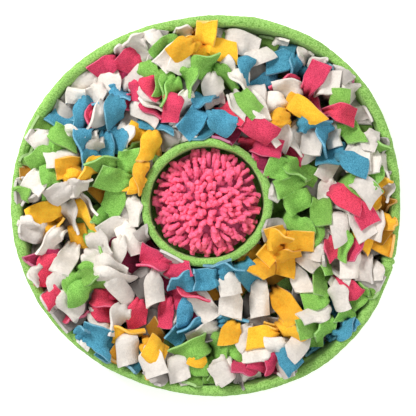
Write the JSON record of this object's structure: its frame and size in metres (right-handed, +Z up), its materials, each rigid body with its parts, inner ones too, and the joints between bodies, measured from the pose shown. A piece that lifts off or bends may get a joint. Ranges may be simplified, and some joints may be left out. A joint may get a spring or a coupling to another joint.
{
  "type": "snuffle mat",
  "caption": "Round snuffle mat with a padded fleece rim, bunches of tied fleece strips that hide treats, and a collar round a domed chenille pad.",
  "frame": {"origin": "middle of the underside, in the middle of the box round the rim", "axes": "+Z up, +Y to the far side of the mat as it is seen from above, +X to the right"},
  "size_m": [0.4312, 0.421, 0.074],
  "materials": {
    "rim_green": "napped fleece, bright green",
    "fleece_green": "napped fleece, grass green",
    "fleece_white": "napped fleece, warm white",
    "fleece_pink": "napped fleece, raspberry pink",
    "fleece_blue": "napped fleece, teal blue",
    "fleece_orange": "napped fleece, warm orange",
    "noodle_pink": "chenille, bright pink"
  },
  "bodies": {
    "root": {"base": "rim_green", "rim_wall": "rim_green", "collar": "rim_green", "noodle_pad": "noodle_pink", "bunch_01": "fleece_blue", "bunch_02": "fleece_pink", "bunch_03": "fleece_pink", "bunch_04": "fleece_green", "bunch_05": "fleece_green", "bunch_06": "fleece_orange", "bunch_07": "fleece_white", "bunch_08": "fleece_white", "bunch_09": "fleece_pink", "bunch_10": "fleece_white", "bunch_11": "fleece_white", "bunch_12": "fleece_green", "bunch_13": "fleece_green", "bunch_14": "fleece_orange", "bunch_15": "fleece_pink", "bunch_16": "fleece_white", "bunch_17": "fleece_white", "bunch_18": "fleece_orange", "bunch_19": "fleece_blue", "bunch_20": "fleece_pink", "bunch_21": "fleece_pink", "bunch_22": "fleece_green", "bunch_23": "fleece_orange", "bunch_24": "fleece_orange", "bunch_25": "fleece_green", "bunch_26": "fleece_blue", "bunch_27": "fleece_pink", "bunch_28": "fleece_white", "bunch_29": "fleece_orange", "bunch_30": "fleece_white", "bunch_31": "fleece_orange", "bunch_32": "fleece_blue", "bunch_33": "fleece_pink", "bunch_34": "fleece_green", "bunch_35": "fleece_orange", "bunch_36": "fleece_white", "bunch_37": "fleece_blue", "bunch_38": "fleece_pink", "bunch_39": "fleece_green", "bunch_40": "fleece_green", "bunch_41": "fleece_orange", "bunch_42": "fleece_pink", "bunch_43": "fleece_green", "bunch_44": "fleece_blue", "bunch_45": "fleece_pink", "bunch_46": "fleece_white", "bunch_47": "fleece_white", "bunch_48": "fleece_white", "bunch_49": "fleece_white", "bunch_50": "fleece_pink", "bunch_51": "fleece_white", "bunch_52": "fleece_orange", "bunch_53": "fleece_green", "bunch_54": "fleece_blue", "bunch_55": "fleece_pink", "bunch_56": "fleece_white"}
  },
  "joints": []
}
